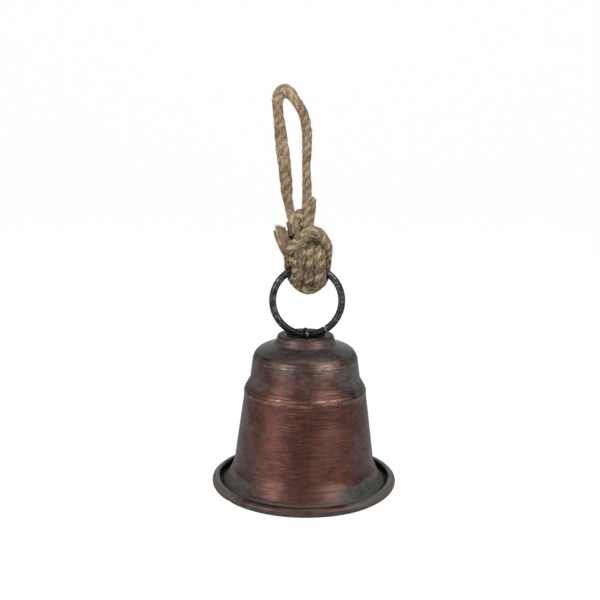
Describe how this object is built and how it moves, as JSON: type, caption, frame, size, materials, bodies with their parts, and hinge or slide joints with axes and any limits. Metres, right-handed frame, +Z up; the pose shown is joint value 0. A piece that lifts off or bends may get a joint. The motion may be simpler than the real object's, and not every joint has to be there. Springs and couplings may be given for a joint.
{
  "type": "yard dinner bell",
  "caption": "Small hand-hung dinner bell: spun metal bell with a rolled brim and clapper, hung from a wire ring on a knotted jute rope loop.",
  "frame": {"origin": "centre of the mouth plane, on which the rolled brim rests", "axes": "+Z up along the bell's axis; the hanging ring and the rope loop lie in the XZ plane, and +X is the side of the ring's butt joint"},
  "size_m": [0.12, 0.12, 0.2568],
  "materials": {
    "antique_copper": "antique copper over spun steel sheet, brushed round, with grey-green patina",
    "black_ring": "blackened steel wire with rubbed marks",
    "dark_steel": "oiled dark steel",
    "clapper_iron": "dark satin",
    "jute": "twisted three-strand jute with loose fibres"
  },
  "bodies": {
    "loop": {"rope_loop": "jute"},
    "knot": {"rope_knot": "jute", "rope_tail": "jute"},
    "ring": {"hanging_ring": "black_ring"},
    "link": {"crown_link": "dark_steel"},
    "bell": {"bell_shell": "antique_copper", "crown_washer": "dark_steel"},
    "clapper_hanger": {"clapper_link": "dark_steel"},
    "clapper": {"clapper_rod": "dark_steel", "clapper_ball": "clapper_iron", "clapper_nut": "dark_steel"}
  },
  "joints": [
    {"name": "rope_bend", "type": "hinge", "parent": "loop", "child": "knot", "pos_m": [-0.0042, 0, 0.1725], "axis": [1, 0, 0], "range_deg": [-35, 35]},
    {"name": "ring_sway", "type": "hinge", "parent": "knot", "child": "ring", "pos_m": [0.0008, 0, 0.1219], "axis": [0, 1, 0], "range_deg": [-60, 60]},
    {"name": "bell_swing", "type": "hinge", "parent": "ring", "child": "link", "pos_m": [0, 0, 0.09995], "axis": [1, 0, 0], "range_deg": [-45, 45]},
    {"name": "bell_spin", "type": "hinge", "parent": "link", "child": "bell", "pos_m": [0, 0, 0.094], "axis": [0, 0, 1], "continuous": true},
    {"name": "clapper_sway", "type": "hinge", "parent": "link", "child": "clapper_hanger", "pos_m": [0, 0, 0.0838], "axis": [0, 1, 0], "range_deg": [-12, 12]},
    {"name": "clapper_swing", "type": "hinge", "parent": "clapper_hanger", "child": "clapper", "pos_m": [0, 0, 0.07395], "axis": [1, 0, 0], "range_deg": [-35, 35]}
  ]
}
